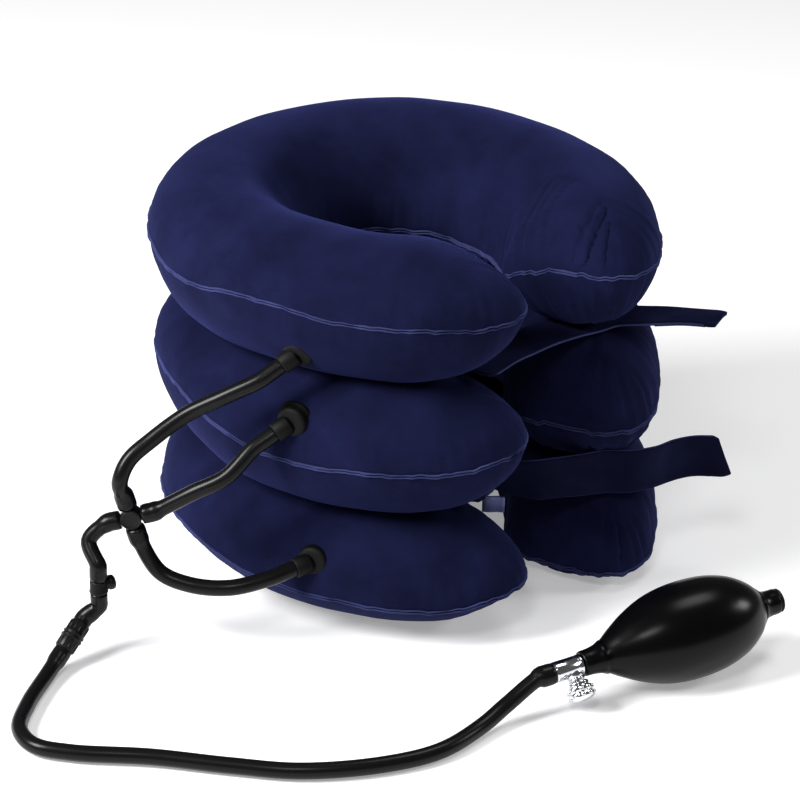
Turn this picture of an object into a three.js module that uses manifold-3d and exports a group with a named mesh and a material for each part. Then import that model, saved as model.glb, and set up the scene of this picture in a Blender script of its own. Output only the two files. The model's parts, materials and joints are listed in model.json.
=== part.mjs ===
// An inflatable neck traction collar: three C-shaped air cushions stacked on one another,
// two closing straps, branch hoses, and a rubber hand bulb with a release valve.
// Millimetres, +Z up. The collar stands on z = 0 around the Z axis, and its opening faces -Y.
import * as THREE from 'three'
import { mergeVertices } from 'three/addons/utils/BufferGeometryUtils.js'
import Module from 'manifold-3d'

const wasm = await Module()
wasm.setup()

const device = new THREE.Group()

// ---- materials -------------------------------------------------------------------------
const velour = new THREE.MeshStandardMaterial({ color: 0x2a2e5c, roughness: 0.95 })
const velourDark = new THREE.MeshStandardMaterial({ color: 0x20234a, roughness: 0.95 })
const hookTape = new THREE.MeshStandardMaterial({ color: 0x1c1f3c, roughness: 0.9 })
const loopTape = new THREE.MeshStandardMaterial({ color: 0x8d92d6, roughness: 0.9 })
const bladderFilm = new THREE.MeshStandardMaterial({ color: 0x6d7078, roughness: 0.5 })
const hoseRubber = new THREE.MeshStandardMaterial({ color: 0x17171a, roughness: 0.4 })
const bulbRubber = new THREE.MeshStandardMaterial({ color: 0x101012, roughness: 0.25 })
const blackPlastic = new THREE.MeshStandardMaterial({ color: 0x141416, roughness: 0.35 })
const chrome = new THREE.MeshStandardMaterial({ color: 0xc9ccd0, roughness: 0.15, metalness: 1 })
const steel = new THREE.MeshStandardMaterial({ color: 0xaab0b6, roughness: 0.3, metalness: 1 })

// ---- driving sizes ---------------------------------------------------------------------
const touch = 0.3 // gap kept between pieces that touch
const ring = { side: 82.5, back: 82.5, left: 91.5, right: 96 } // half axes of the cushion's centreline
const tipAngle = { left: 16, right: 10 } // where each arm ends, in degrees from -Y
const halfWidth = 36.5 // of an inflated cushion, seen from above
const cornerLength = 24 // over which an arm's end rounds off, seen from above
const taperLength = 50 // over which an arm's end thins out, seen from the side
const cloth = 1.2 // thickness of the velour skin
const film = 1 // thickness of the air bladder's wall
const skinGap = 0.5 // between the velour skin and the bladder
const weld = { reach: 3, thickness: 0.7 } // flat flange along the welded edge
const sectionAngles = [0, 30, 60, 90, 120, 150, 180, 215, 256, 284, 325] // corners of a cross-section
const innerStations = 11 // cross-sections along the middle of the ring

// `shift` moves a cushion sideways: the stack leans to the left and back.
// `full` is the fullness of a cross-section: 1 is straight-sided, 2 is an ellipse, more is squarer.
// `press` is how far it is pressed flat below and above, 1 being not at all.
const tiers = [
  {
    name: 'bottom', shift: [-1.1, 1.3], floor: 0, seam: 24, ceiling: 61.85,
    full: { below: 1.15, above: 2.3 }, press: { below: 1.22, above: 1.06 },
  },
  {
    name: 'middle', shift: [-2.4, 2.8], floor: 62.15, seam: 96, ceiling: 130.85,
    full: { below: 1.9, above: 2.3 }, press: { below: 1.06, above: 1.06 },
  },
  {
    name: 'top', shift: [-4, 4.5], floor: 131.15, seam: 169, ceiling: 197,
    full: { below: 1.9, above: 2.1 }, press: { below: 1.06, above: 1 },
  },
]

// ---- helpers ---------------------------------------------------------------------------
const radians = THREE.MathUtils.degToRad

function add(name, geometry, material) {
  const mesh = new THREE.Mesh(geometry, material)
  mesh.name = name
  device.add(mesh)
  return mesh
}

function toSolid(geometry) {
  const bare = geometry.clone()
  bare.deleteAttribute('normal')
  bare.deleteAttribute('uv')
  const merged = mergeVertices(bare, 1e-4)
  const corners = merged.index.array
  const kept = []
  for (let i = 0; i < corners.length; i += 3) {
    const [a, b, c] = [corners[i], corners[i + 1], corners[i + 2]]
    if (a !== b && b !== c && c !== a) kept.push(a, b, c)
  }
  return new wasm.Manifold(new wasm.Mesh({
    numProp: 3,
    vertProperties: new Float32Array(merged.attributes.position.array),
    triVerts: new Uint32Array(kept),
  }))
}

function toGeometry(solid) {
  const { vertProperties, triVerts } = solid.getMesh()
  const geometry = new THREE.BufferGeometry()
  geometry.setAttribute('position', new THREE.BufferAttribute(new Float32Array(vertProperties), 3))
  geometry.setIndex(new THREE.BufferAttribute(new Uint32Array(triVerts), 1))
  return geometry
}

// Closed skin over a row of rings with the same number of points, flat at both ends.
function loft(rings) {
  const count = rings[0].length
  const points = rings.flat().flatMap((p) => [p.x, p.y, p.z])
  const faces = []
  for (let r = 0; r + 1 < rings.length; r += 1) {
    for (let i = 0; i < count; i += 1) {
      const j = (i + 1) % count
      const [a, b, c, d] = [r * count + i, r * count + j, (r + 1) * count + j, (r + 1) * count + i]
      faces.push(a, b, c, a, c, d)
    }
  }
  const last = (rings.length - 1) * count
  for (let i = 1; i + 1 < count; i += 1) {
    faces.push(0, i + 1, i, last, last + i, last + i + 1)
  }
  const geometry = new THREE.BufferGeometry()
  geometry.setAttribute('position', new THREE.Float32BufferAttribute(points, 3))
  geometry.setIndex(faces)
  return geometry
}

function block(x0, x1, y0, y1, z0, z1) {
  const box = new THREE.BoxGeometry(x1 - x0, y1 - y0, z1 - z0)
  return box.translate((x0 + x1) / 2, (y0 + y1) / 2, (z0 + z1) / 2)
}

// Turned solid along +Z from [radius, height] points, then moved so that +Z follows `axis`.
function turned(profile, segments, at, axis) {
  const geometry = new THREE.LatheGeometry(profile.map(([r, z]) => new THREE.Vector2(r, z)), segments)
  geometry.rotateX(Math.PI / 2)
  return aimed(geometry, at, axis)
}

function aimed(geometry, at, axis) {
  const turn = new THREE.Quaternion().setFromUnitVectors(new THREE.Vector3(0, 0, 1), axis.clone().normalize())
  return geometry.applyQuaternion(turn).translate(at.x, at.y, at.z)
}

function rod(radius, from, to, segments = 12) {
  const axis = to.clone().sub(from)
  return turned([[0, 0], [radius, 0], [radius, axis.length()], [0, axis.length()]], segments, from, axis)
}

const vec = (x, y, z) => new THREE.Vector3(x, y, z)
const along = (point, direction, distance) => point.clone().addScaledVector(direction, distance)

// ---- the cushions' plan ----------------------------------------------------------------
// `turn` runs from the left arm's tip (by -X) round the back to the right arm's tip, in radians from -Y.
function centreline(turn) {
  const front = Math.sin(turn) > 0 ? ring.left : ring.right
  const depth = Math.cos(turn) > 0 ? front : ring.back
  return vec(-ring.side * Math.sin(turn), -depth * Math.cos(turn), 0)
}

function outward(turn) {
  const step = 0.01
  const direction = centreline(turn + step).sub(centreline(turn - step)).normalize()
  return vec(direction.y, -direction.x, 0).negate()
}

const firstTurn = radians(tipAngle.left)
const lastTurn = radians(360 - tipAngle.right)

function stationTurns(inset) {
  const nearTip = [0.8, 7, 20, 48].map((distance) => (distance + inset) / ring.side)
  const start = firstTurn + nearTip.at(-1)
  const end = lastTurn - nearTip.at(-1)
  const middle = []
  for (let i = 1; i < innerStations; i += 1) middle.push(start + ((end - start) * i) / innerStations)
  return [...nearTip.map((t) => firstTurn + t), ...middle, ...nearTip.reverse().map((t) => lastTurn - t)]
}

function tipDistance(turn, inset) {
  return Math.min(turn - firstTurn, lastTurn - turn) * ring.side - inset
}

function swell(distance, length, power) {
  const left = Math.max(0, 1 - distance / length)
  return (1 - left ** power) ** (1 / power)
}

// The cushion's outer shape, moved inwards by `inset` all round.
function cushion(tier, inset) {
  const rings = stationTurns(inset).map((turn) => {
    const distance = tipDistance(turn, inset)
    const width = (halfWidth - inset) * swell(distance, cornerLength, 2.6)
    const rise = swell(distance, taperLength, 2)
    const centre = centreline(turn).add(vec(...tier.shift, 0))
    const out = outward(turn)
    const section = []
    for (const angle of sectionAngles) {
      const across = Math.cos(radians(angle))
      const half = angle < 180 ? 'above' : 'below'
      const height = (half === 'above' ? tier.ceiling - tier.seam : tier.seam - tier.floor) - inset
      const full = tier.full[half]
      const bulge = (1 - Math.min(1, Math.abs(across)) ** full) ** (1 / full)
      const lift = Math.min(1, tier.press[half] * bulge) * height * rise
      const point = along(centre, out, width * across)
      point.z = tier.seam + (half === 'above' ? lift : -lift)
      section.push(point)
    }
    return section
  })
  return toSolid(loft(rings))
}

// Flat flange that follows a cushion's outline, on the upper side of its seam.
function flange(tier) {
  const low = tier.seam + touch / 2
  const high = low + weld.thickness
  const rings = stationTurns(-weld.reach).map((turn) => {
    const distance = tipDistance(turn, -weld.reach)
    const width = (halfWidth + weld.reach) * swell(distance, cornerLength, 2.6)
    const centre = centreline(turn).add(vec(...tier.shift, 0))
    const out = outward(turn)
    const corners = [[1, low], [1, high], [-1, high], [-1, low]]
    return corners.map(([side, z]) => {
      const point = along(centre, out, side * width)
      point.z = z
      return point
    })
  })
  return toSolid(loft(rings))
}

// ---- inflation ports -------------------------------------------------------------------
// Each port is a rubber boss on the collar's left side, with an elbow spigot pointing backwards.
const ports = {
  top: { turn: radians(74.5), height: 149, reach: 112, tilt: -30, fall: 0.2 },
  middle: { turn: radians(75.2), height: 114, reach: 115.5, tilt: 0, fall: 0.6 },
  bottom: { turn: radians(70), height: 41.5, reach: 115, tilt: 8, fall: 0.3 },
}
const boss = { radius: 7, bore: 1.5, inside: 9, outside: 5 }
const spigot = { radius: 2.6, length: 9, height: 2, sweep: 0.7, stand: 0.8 }

function portFrame(port) {
  const flat = vec(-Math.sin(port.turn), -Math.cos(port.turn), 0)
  const axis = flat.clone().multiplyScalar(Math.cos(radians(port.tilt)))
  axis.z = Math.sin(radians(port.tilt))
  const at = flat.clone().multiplyScalar(port.reach)
  at.z = port.height
  const backwards = vec(flat.y, -flat.x, 0).multiplyScalar(spigot.sweep)
  const lead = along(along(backwards, vec(0, 0, -1), port.fall), axis, spigot.stand).normalize()
  return { at, axis, lead }
}

function portHole(port) {
  const { at, axis } = portFrame(port)
  return toSolid(rod(boss.radius + touch, along(at, axis, -25), along(at, axis, 25), 16))
}

for (const tier of tiers) {
  const port = ports[tier.name]
  const hole = portHole(port)
  const inside = cushion(tier, cloth)
  const skin = cushion(tier, 0).subtract(inside)
  const gap = touch / 2
  const upperHalf = toSolid(block(-200, 200, -200, 200, tier.seam + gap, 250))
  const lowerHalf = toSolid(block(-200, 200, -200, 200, -50, tier.seam - gap))
  const weldedEdge = flange(tier).subtract(inside)
  const upper = skin.intersect(upperHalf).add(weldedEdge).subtract(hole)
  const lower = skin.intersect(lowerHalf).subtract(hole)
  const airSpace = cushion(tier, cloth + skinGap + film)
  const bladder = cushion(tier, cloth + skinGap).subtract(airSpace).subtract(hole)
  add(`${tier.name}_tier_upper_panel`, toGeometry(upper), velour)
  add(`${tier.name}_tier_lower_panel`, toGeometry(lower), velourDark)
  add(`${tier.name}_tier_air_bladder`, toGeometry(bladder), bladderFilm)
}

for (const [name, port] of Object.entries(ports)) {
  const { at, axis, lead } = portFrame(port)
  const body = turned([
    [0, -boss.inside], [boss.radius - 1, -boss.inside], [boss.radius, 1 - boss.inside],
    [boss.radius, boss.outside - 1.5], [boss.radius - 1.5, boss.outside], [0, boss.outside],
  ], 16, at, axis)
  const foot = along(at, axis, spigot.height)
  const neck = rod(spigot.radius, foot, along(foot, lead, boss.radius + spigot.length))
  const bore = rod(boss.bore, along(at, axis, -boss.inside - 1), foot, 8)
  const passage = rod(boss.bore, foot, along(foot, lead, boss.radius + spigot.length + 1), 8)
  const solid = toSolid(body).add(toSolid(neck)).subtract(toSolid(bore)).subtract(toSolid(passage))
  add(`${name}_tier_port`, toGeometry(solid), hoseRubber)
}

// ---- closing straps --------------------------------------------------------------------
// Flat bands fixed at the left arm's tip, between two tiers. `lean` turns a band's width from
// upright (0) towards lying flat (90).
const strapSize = { width: 24, thickness: 1.6, steps: 22 }
const hookPatch = { thickness: 1, margin: 2.5, first: 17, last: 21 } // first and last: steps along the strap
const straps = {
  upper: {
    path: [
      vec(-41.8, -77.4, 131), vec(-23.4, -76.6, 131), vec(-4.5, -76.4, 131), vec(23, -80.6, 131),
      vec(34.4, -83.5, 131), vec(47.5, -88.1, 131), vec(59.3, -98, 131), vec(73, -112.6, 131),
      vec(83, -129.7, 131),
    ],
    lean: [89, 89, 89, 89, 89, 89, 87, 84, 82],
    patchSide: 1,
  },
  lower: {
    path: [
      vec(-45, -75, 62), vec(-33, -72.5, 62), vec(-21, -72, 62.5), vec(-12, -79, 63), vec(-4, -91, 63),
      vec(9, -99.5, 62.5), vec(24, -108, 62), vec(32, -117.5, 62.5), vec(44, -122, 62.5),
      vec(56, -124, 62.5), vec(68, -130, 62.5), vec(77.5, -141, 62.5),
    ],
    lean: [80, 78, 50, 20, 8, 5, 5, 5, 5, 5, 5, 5],
    patchSide: -1,
  },
}

function band(path, lean, from, to, width, low, high, steps) {
  const curve = new THREE.CatmullRomCurve3(path)
  const rings = []
  for (let i = 0; i <= steps; i += 1) {
    const t = from + ((to - from) * i) / steps
    const centre = curve.getPoint(t)
    const forward = curve.getTangent(t)
    const spot = t * (lean.length - 1)
    const k = Math.min(lean.length - 2, Math.floor(spot))
    const tilt = radians(THREE.MathUtils.lerp(lean[k], lean[k + 1], spot - k))
    const across = vec(0, 0, 1).applyAxisAngle(forward, tilt).normalize()
    across.addScaledVector(forward, -across.dot(forward)).normalize()
    const face = forward.clone().cross(across).normalize()
    const corners = [[-1, low], [1, low], [1, high], [-1, high]]
    rings.push(corners.map(([side, depth]) => {
      return along(along(centre, across, (side * width) / 2), face, depth)
    }))
  }
  return loft(rings)
}

for (const [name, strap] of Object.entries(straps)) {
  const half = strapSize.thickness / 2
  const { path, lean } = strap
  const { steps, width } = strapSize
  add(`${name}_strap`, band(path, lean, 0, 1, width, -half, half, steps), velour)
  const near = half + touch
  const far = near + hookPatch.thickness
  const [low, high] = strap.patchSide > 0 ? [near, far] : [-far, -near]
  const { first, last, margin } = hookPatch
  const patch = band(path, lean, first / steps, last / steps, width - 2 * margin, low, high, last - first)
  add(`${name}_strap_hook_patch`, patch, hookTape)
}

// A small tab of loop tape hangs under the lower strap, near its root.
const tab = { at: vec(-15, -71, 46.5), length: 11, height: 8, turn: radians(-52) }
const loopTab = block(-tab.length / 2, tab.length / 2, -0.6, 0.6, -tab.height / 2, tab.height / 2)
add('lower_strap_loop_tab', loopTab.rotateZ(tab.turn).translate(tab.at.x, tab.at.y, tab.at.z), loopTape)

// ---- fittings on the hoses -------------------------------------------------------------
const barb = { radius: 2.6, bore: 1.5 }
const up = vec(0, 0, 1)
const down = vec(0, 0, -1)

// Four-way cross: a round hub that lies in an upright plane, turned a little in that plane.
const cross = { at: vec(-172, 19, 68), hub: 5, depth: 8, reach: 8, roll: radians(-16) }
const crossFace = vec(-0.75, -0.66, 0).normalize()
const crossLevel = vec(0.66, -0.75, 0).normalize()
const crossRight = crossLevel.clone().applyAxisAngle(crossFace, -cross.roll)
const crossUp = up.clone().applyAxisAngle(crossFace, -cross.roll)
const crossArms = {
  right: crossRight,
  top: crossUp,
  left: crossRight.clone().negate(),
  bottom: crossUp.clone().negate(),
}

function pipes(at, directions, reach) {
  const tubes = directions.map((way) => toSolid(rod(barb.radius, at, along(at, way, reach), 8)))
  return tubes.reduce((sum, tube) => sum.add(tube))
}

function drilled(solid, at, directions, reach) {
  return directions.reduce((left, way) => {
    const from = along(at, way, -barb.bore)
    return left.subtract(toSolid(rod(barb.bore, from, along(at, way, reach + 1), 6)))
  }, solid)
}

function crossConnector() {
  const ways = Object.values(crossArms)
  const back = along(cross.at, crossFace, -cross.depth / 2)
  const front = along(cross.at, crossFace, cross.depth / 2)
  const hub = toSolid(rod(cross.hub, back, front, 14))
  return drilled(hub.add(pipes(cross.at, ways, cross.reach)), cross.at, ways, cross.reach)
}
add('cross_connector', toGeometry(crossConnector()), blackPlastic)

// Tee with one plugged branch, under the cross.
const tee = { at: vec(-189, 24.5, 36), reach: 8, body: 4.2, stub: 8, nub: 3.1 }
const stubWay = vec(0.9, -0.42, 0.1).normalize()

function stubbedTee() {
  const sleeve = toSolid(rod(tee.body, along(tee.at, up, -4.5), along(tee.at, up, 4.5), 12))
  const stub = toSolid(turned(
    [[0, 0], [tee.nub, 0], [tee.nub, tee.stub - 1], [tee.nub - 1, tee.stub], [0, tee.stub]],
    12, tee.at, stubWay,
  ))
  const body = sleeve.add(stub).add(pipes(tee.at, [up, down], tee.reach))
  return drilled(body, tee.at, [up, down], tee.reach)
}
add('stubbed_tee', toGeometry(stubbedTee()), blackPlastic)

// Straight barbed coupling with a collar round its middle.
const coupling = { at: vec(-204, 27.5, 13.5), way: vec(-0.84, -0.1, -0.53).normalize(), half: 8, collar: 5 }
const couplingTube = [
  [barb.bore, -coupling.half], [barb.radius, -coupling.half], [barb.radius, -1.5], [coupling.collar, -1.5],
  [coupling.collar, 1.5], [barb.radius, 1.5], [barb.radius, coupling.half], [barb.bore, coupling.half],
  [barb.bore, -coupling.half],
]
add('straight_coupling', turned(couplingTube, 12, coupling.at, coupling.way), blackPlastic)

// ---- hand bulb and its valves ----------------------------------------------------------
// Stations along the bulb's axis are counted from its middle, towards the tail.
// The bulb is pear-shaped: it tapers slowly towards the valve and is blunt at its tail.
const bulb = { at: vec(-18, -190, 23.5), neck: 6, wall: 2, bore: 4.3, end: 54, tail: 52 }
const bulbAxis = vec(0.93, -0.365, 0.07).normalize()
const onBulb = (station) => along(bulb.at, bulbAxis, station)
const pear = [
  [-46, 6.2], [-42, 7.8], [-35, 12], [-26, 16.8], [-15, 21], [-4, 23], [8, 23.3], [19, 22], [29, 18.8],
  [37, 13.8], [42, 8.6], [44, 6.2],
]

function bulbWall() {
  const outer = pear.map(([station, radius]) => [radius, station])
  const inner = pear.map(([station, radius]) => [Math.max(bulb.bore, radius - bulb.wall), station])
  const front = [[bulb.bore, -bulb.end], [bulb.neck, -bulb.end]]
  const tail = [[bulb.neck, bulb.tail], [bulb.bore, bulb.tail]]
  return [...front, ...outer, ...tail, ...inner.reverse(), front[0]]
}
add('squeeze_bulb', turned(bulbWall(), 20, bulb.at, bulbAxis), bulbRubber)

// Release valve: a chromed tube between the bulb's front neck and the long hose.
const valve = { radius: 5, plug: 4, plugEnd: -43, seat: 1.2, chamber: 2.1, body: 15, barb: 4 }
const valveFront = -bulb.end - touch - valve.body
const hoseStation = valveFront - valve.barb
const screwStation = -bulb.end - touch - 5
const screwSide = vec(bulbAxis.y, -bulbAxis.x, 0).normalize()
const screwDown = bulbAxis.clone().cross(screwSide)
const screwWay = screwSide.clone().multiplyScalar(0.7).addScaledVector(screwDown, 0.714).normalize()
const screw = { boss: 4.2, bossEnd: 7, hole: 2.1, stem: 1.8, tip: 2.3, end: 13.8 }
const grip = { radius: 6.5, low: 7.5, high: 16.5, grooves: 8, groove: 0.7 } // the knob on the screw
const ball = { outlet: 1.7, inlet: 1.5 }
const outletSeat = valve.plugEnd - 3

function releaseValve() {
  const neckFace = -bulb.end - touch
  const tube = toSolid(turned([
    [0, hoseStation], [barb.radius, hoseStation], [barb.radius, valveFront], [valve.radius - 0.8, valveFront],
    [valve.radius, valveFront + 0.8], [valve.radius, neckFace], [valve.plug, neckFace],
    [valve.plug, valve.plugEnd], [0, valve.plugEnd],
  ], 20, bulb.at, bulbAxis))
  const at = onBulb(screwStation)
  const side = toSolid(rod(screw.boss, at, along(at, screwWay, screw.bossEnd), 16))
  const bore = toSolid(rod(barb.bore, onBulb(hoseStation - 1), onBulb(screwStation), 10))
  const chamber = toSolid(rod(valve.chamber, onBulb(screwStation), onBulb(outletSeat), 12))
  const seat = toSolid(rod(valve.seat, onBulb(outletSeat - 0.5), onBulb(valve.plugEnd + 1), 10))
  const thread = toSolid(rod(screw.hole, along(at, screwWay, 1), along(at, screwWay, screw.bossEnd + 1), 12))
  return [bore, chamber, seat, thread].reduce((left, cut) => left.subtract(cut), tube.add(side))
}
add('release_valve_body', toGeometry(releaseValve()), chrome)

const screwFoot = onBulb(screwStation)
add('release_valve_stem', turned([
  [0, screw.tip], [screw.stem, screw.tip + 2], [screw.stem, screw.end], [0, screw.end],
], 12, screwFoot, screwWay), steel)

// Thumb knob: knurled grip, a waist and a flat end, round the stem.
function thumbKnob() {
  const hole = screw.stem + touch
  const { radius, low, high } = grip
  const waist = low + 3.2
  const shape = toSolid(turned([
    [hole, low], [radius - 1.8, low], [radius - 1.2, waist - 0.8], [radius - 1.8, waist],
    [radius - 0.5, waist + 1], [radius, waist + 2], [radius, high - 0.8], [radius - 0.8, high],
    [0, high], [0, screw.end + touch], [hole, screw.end + touch], [hole, low],
  ], 16, screwFoot, screwWay))
  let knurled = shape
  for (let i = 0; i < grip.grooves; i += 1) {
    const a = (2 * Math.PI * i) / grip.grooves
    const foot = vec(radius * Math.cos(a), radius * Math.sin(a), waist + 1.5)
    const groove = rod(grip.groove, foot, vec(foot.x, foot.y, high + 1), 6)
    knurled = knurled.subtract(toSolid(aimed(groove, screwFoot, screwWay)))
  }
  return knurled
}
add('release_valve_knob', toGeometry(thumbKnob()), chrome)

function checkBall(radius, station) {
  const at = onBulb(station)
  return new THREE.SphereGeometry(radius, 10, 6).translate(at.x, at.y, at.z)
}
add('outlet_check_ball', checkBall(ball.outlet, outletSeat - ball.outlet - touch), steel)

// Inlet valve: a plug in the tail neck that lets air in and holds it.
const inlet = { plug: 4, from: 42, face: bulb.tail + touch, flange: 5.8, thick: 1.6, seat: 1, chamber: 1.9 }
const inletSeat = inlet.face - 3
add('inlet_valve_body', turned([
  [inlet.chamber, inlet.from], [inlet.plug, inlet.from], [inlet.plug, inlet.face], [inlet.flange, inlet.face],
  [inlet.flange, inlet.face + inlet.thick - 0.6], [inlet.flange - 0.6, inlet.face + inlet.thick],
  [inlet.seat, inlet.face + inlet.thick], [inlet.seat, inletSeat], [inlet.chamber, inletSeat],
  [inlet.chamber, inlet.from],
], 16, bulb.at, bulbAxis), blackPlastic)
add('inlet_check_ball', checkBall(ball.inlet, inletSeat - ball.inlet - touch), steel)

// ---- hoses -----------------------------------------------------------------------------
const hose = { radius: 4, sides: 8, step: 14 }

function hoseTube(points) {
  const outline = new THREE.Shape()
  for (let i = 0; i < hose.sides; i += 1) {
    const a = (2 * Math.PI * i) / hose.sides
    const corner = [hose.radius * Math.cos(a), hose.radius * Math.sin(a)]
    if (i === 0) outline.moveTo(...corner)
    else outline.lineTo(...corner)
  }
  outline.closePath()
  const extrudePath = new THREE.CatmullRomCurve3(points)
  const steps = Math.max(3, Math.round(extrudePath.getLength() / hose.step))
  return new THREE.ExtrudeGeometry(outline, { steps, extrudePath, curveSegments: 1, bevelEnabled: false })
}

// A hose leaves a fitting in line with its spigot: its first two points lie on the spigot's axis.
const straight = { port: 6, cross: 3, tee: 2.5, coupling: 2.5, valve: 3 }
function lineUp(at, way, reach, length) {
  return [along(at, way, reach + touch), along(at, way, reach + touch + length)]
}
function portEnd(port) {
  const { at, axis, lead } = portFrame(port)
  return lineUp(along(at, axis, spigot.height), lead, boss.radius + spigot.length, straight.port)
}
const crossEnd = (way) => lineUp(cross.at, crossArms[way], cross.reach, straight.cross).reverse()
const teeEnd = (way) => lineUp(tee.at, way, tee.reach, straight.tee)
const couplingWay = (side) => coupling.way.clone().multiplyScalar(side)
const couplingEnd = (side) => lineUp(coupling.at, couplingWay(side), coupling.half, straight.coupling)
const valveEnd = lineUp(bulb.at, bulbAxis.clone().negate(), -hoseStation, straight.valve).reverse()

const routes = {
  branch_hose_top: [
    ...portEnd(ports.top), vec(-137, -9, 128), vec(-148, 5, 118), vec(-162, 14, 107), vec(-173, 19, 98),
    vec(-178, 20, 88), ...crossEnd('top'),
  ],
  branch_hose_middle: [
    ...portEnd(ports.middle), vec(-144, -16, 91), vec(-154, -5, 83), ...crossEnd('right'),
  ],
  branch_hose_bottom: [
    ...portEnd(ports.bottom), vec(-147, -21, 35), vec(-158, -5, 35), vec(-165, 8, 40), ...crossEnd('bottom'),
  ],
  drop_hose: [...crossEnd('left').reverse(), vec(-186.5, 33, 56), ...teeEnd(up).reverse()],
  lower_hose: [...teeEnd(down), ...couplingEnd(-1).reverse()],
  long_hose: [
    ...couplingEnd(1), vec(-226, 21.5, 5), vec(-250, 9, 4.7), vec(-267, -4, 4.7), vec(-272, -19, 4.7),
    vec(-265, -35, 4.7), vec(-243, -64, 4.7), vec(-224, -95, 4.7), vec(-206, -121, 4.7), vec(-178, -144, 4.7),
    vec(-151, -156, 4.7), vec(-123, -157, 5.5), vec(-106, -157.5, 9.5), ...valveEnd,
  ],
}
for (const [name, points] of Object.entries(routes)) add(name, hoseTube(points), hoseRubber)

// ---- origin ----------------------------------------------------------------------------
// The origin is under the middle of the collar and the bulb together; hoses and their fittings
// don't count.
const onHoses = [...Object.keys(routes), 'cross_connector', 'stubbed_tee', 'straight_coupling']
const onHosesToo = tiers.map((tier) => `${tier.name}_tier_port`)
const standing = new THREE.Box3()
for (const piece of device.children) {
  if (![...onHoses, ...onHosesToo].includes(piece.name)) standing.expandByObject(piece)
}
const middle = standing.getCenter(vec(0, 0, 0))
device.position.set(-middle.x, -middle.y, -standing.min.z)

export default device
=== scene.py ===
"""An inflatable neck traction collar: three C-shaped velour air cushions, two closing straps,
branch hoses and a rubber hand bulb with a chromed release valve. Metres, row frame."""
import json
import math

import bmesh
import bpy
import numpy as np
from mathutils import Matrix, Vector, kdtree


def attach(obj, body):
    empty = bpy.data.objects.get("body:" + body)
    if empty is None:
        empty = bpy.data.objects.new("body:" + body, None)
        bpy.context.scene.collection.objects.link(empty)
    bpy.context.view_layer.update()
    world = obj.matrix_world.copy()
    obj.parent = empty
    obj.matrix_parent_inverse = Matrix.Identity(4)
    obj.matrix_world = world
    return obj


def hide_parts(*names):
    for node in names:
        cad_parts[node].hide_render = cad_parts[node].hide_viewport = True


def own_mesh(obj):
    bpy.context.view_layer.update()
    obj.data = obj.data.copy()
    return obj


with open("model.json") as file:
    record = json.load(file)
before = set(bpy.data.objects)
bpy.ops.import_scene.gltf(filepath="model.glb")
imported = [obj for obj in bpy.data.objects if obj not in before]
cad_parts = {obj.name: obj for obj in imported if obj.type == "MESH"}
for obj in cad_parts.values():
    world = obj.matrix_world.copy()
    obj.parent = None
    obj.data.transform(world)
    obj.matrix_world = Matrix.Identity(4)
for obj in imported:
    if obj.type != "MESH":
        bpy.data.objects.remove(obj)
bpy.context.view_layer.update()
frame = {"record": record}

MM = 0.001
BASE = Vector(frame["record"]["mounts"][0]["pos_m"])
AXIS = BASE - Vector((0, 0.0825, 0))  # the collar's own upright axis, on the floor


def at(x, y, z):
    """A point given in millimetres from the collar's axis, as a row frame point in metres."""
    return AXIS + Vector((x, y, z)) * MM


# ---- camera ------------------------------------------------------------------------------
def make_camera():
    azimuth, elevation = math.radians(-48.68), math.radians(26.6)
    distance, roll, frame_width = 1.7014, math.radians(0.87), 0.396
    data = bpy.data.cameras.new("camera")
    camera = bpy.data.objects.new("camera", data)
    bpy.context.scene.collection.objects.link(camera)
    right = Vector((math.cos(azimuth), math.sin(azimuth), 0))
    level = Vector((math.sin(azimuth), -math.cos(azimuth), 0))
    back = level * math.cos(elevation) + Vector((0, 0, math.sin(elevation)))
    target = at(0, 0, 98) - right * 0.00279 - back.cross(right) * 0.02235
    camera.location = target + back * distance
    aim = (-back).to_track_quat("-Z", "Y")
    camera.rotation_euler = (aim.to_matrix() @ Matrix.Rotation(roll, 3, "Z")).to_euler()
    data.sensor_width = 36
    data.lens = data.sensor_width * distance / frame_width
    bpy.context.scene.camera = camera


make_camera()


# ---- small helpers -----------------------------------------------------------------------
def mesh_object(name, points, faces, material, smooth=True):
    mesh = bpy.data.meshes.new(name)
    mesh.from_pydata([tuple(p) for p in points], [], faces)
    mesh.update()
    if smooth:
        mesh.polygons.foreach_set("use_smooth", [True] * len(mesh.polygons))
    piece = bpy.data.objects.new(name, mesh)
    bpy.context.scene.collection.objects.link(piece)
    piece.data.materials.append(material)
    return piece


def grid_faces(rows, columns, close_rows=False, close_columns=False):
    faces = []
    for r in range(rows if close_rows else rows - 1):
        for c in range(columns if close_columns else columns - 1):
            r2, c2 = (r + 1) % rows, (c + 1) % columns
            faces.append((r * columns + c, r * columns + c2, r2 * columns + c2, r2 * columns + c))
    return faces


def modifier(piece, kind, **settings):
    made = piece.modifiers.new(kind.lower(), kind)
    for key, value in settings.items():
        setattr(made, key, value)


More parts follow.
